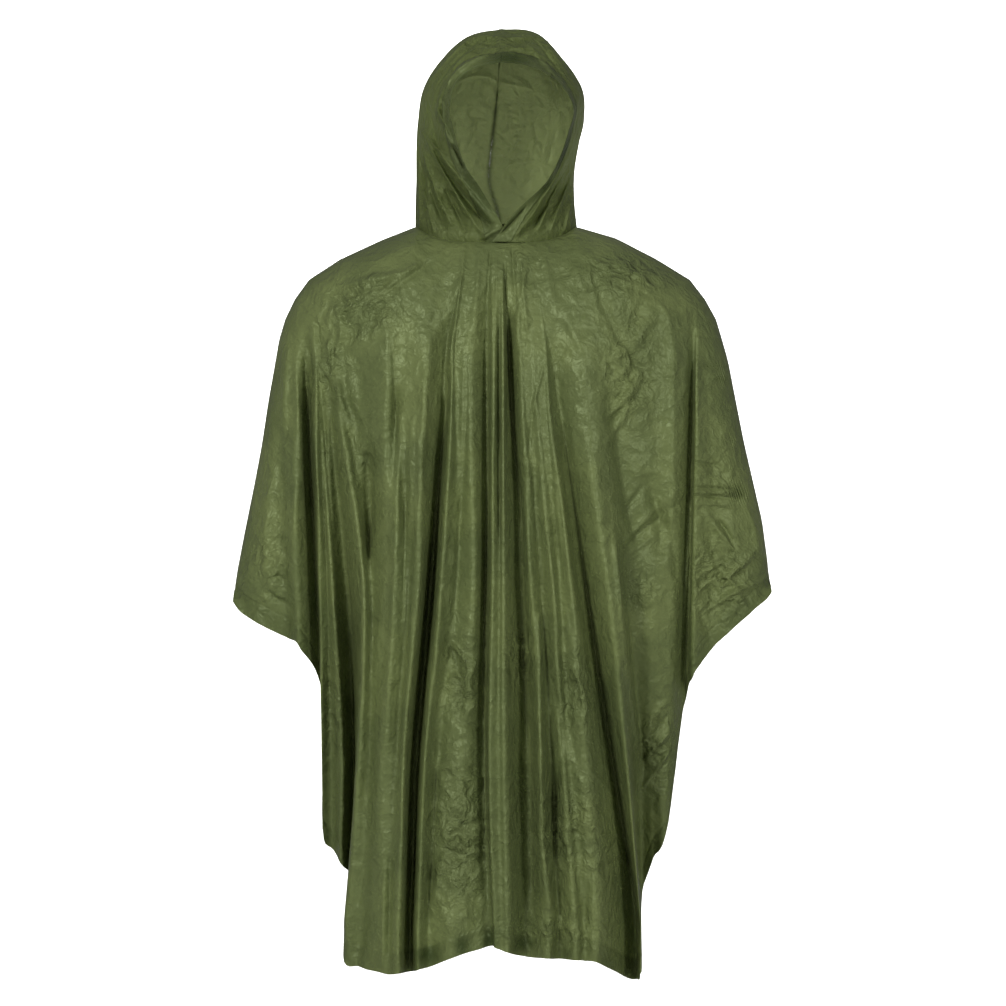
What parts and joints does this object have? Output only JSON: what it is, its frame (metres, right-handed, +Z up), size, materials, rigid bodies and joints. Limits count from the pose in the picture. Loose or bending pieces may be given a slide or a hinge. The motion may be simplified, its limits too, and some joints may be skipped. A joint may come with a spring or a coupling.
{
  "type": "rain poncho",
  "caption": "Hooded rain poncho of thin plastic film with short wide sleeves, worn shape with long hanging folds, open at the face, hem and sides.",
  "frame": {"origin": "middle of the neck opening, where the wearer's shoulders carry the garment", "axes": "+Z up, -Y the front of the garment, +X the viewer's right when looking at the front"},
  "size_m": [0.7122, 0.3474, 1.2522],
  "materials": {
    "body_film": "satin PVC film, olive green",
    "hood_film": "satin PVC film, olive green",
    "hem_film": "satin PVC film, two layers welded"
  },
  "bodies": {
    "root": {"body_front": "body_film", "body_back": "body_film", "hem_front": "hem_film", "hem_back": "hem_film", "hood_left": "hood_film", "hood_right": "hood_film", "face_hem_left": "hem_film", "face_hem_right": "hem_film"}
  },
  "joints": []
}
